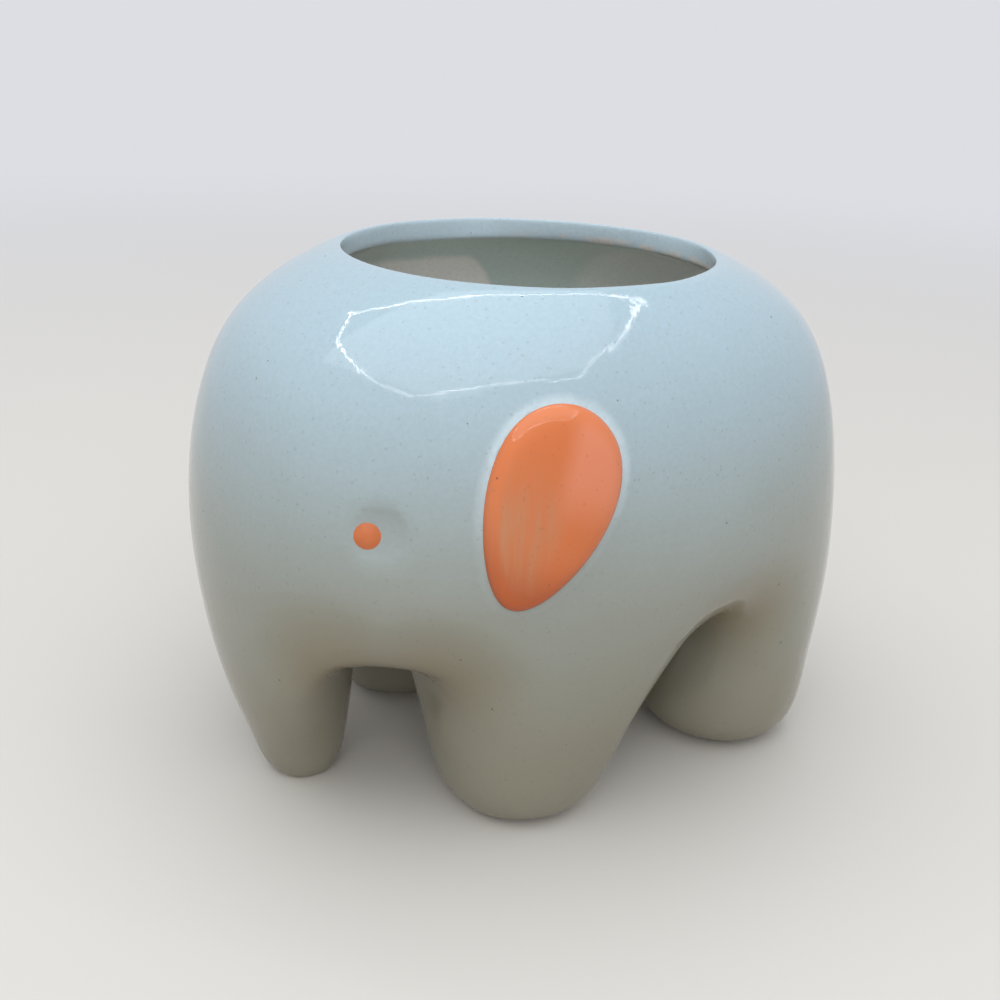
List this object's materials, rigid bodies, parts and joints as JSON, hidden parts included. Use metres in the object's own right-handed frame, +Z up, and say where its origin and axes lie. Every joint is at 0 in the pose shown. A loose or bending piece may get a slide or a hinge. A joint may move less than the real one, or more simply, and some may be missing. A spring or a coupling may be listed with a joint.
{
  "type": "planter",
  "caption": "Glazed ceramic elephant planter with a trunk that reaches the ground, raised orange ears, a round mouth on top and a pull-out drainage plug.",
  "frame": {"origin": "on the ground under the middle of the planter's bounding box", "axes": "+Z up, -X the way the elephant faces, -Y its left side, which is the side the picture shows"},
  "size_m": [0.151, 0.1212, 0.1137],
  "materials": {
    "celadon_glaze": "pale blue-green glaze, glossy, over cream clay",
    "ear_glaze": "orange glaze, glossy, brushed on",
    "eye_glaze": "orange-brown glaze, glossy",
    "soft_plug": "dark, matt"
  },
  "bodies": {
    "planter": {"planter_body": "celadon_glaze", "left_ear": "ear_glaze", "right_ear": "ear_glaze", "left_eye": "eye_glaze", "right_eye": "eye_glaze"},
    "plug": {"drain_plug": "soft_plug"}
  },
  "joints": [
    {"name": "plug_pull", "type": "slide", "parent": "planter", "child": "plug", "axis": [0, 0, -1], "range_m": [0, 0.012]}
  ]
}
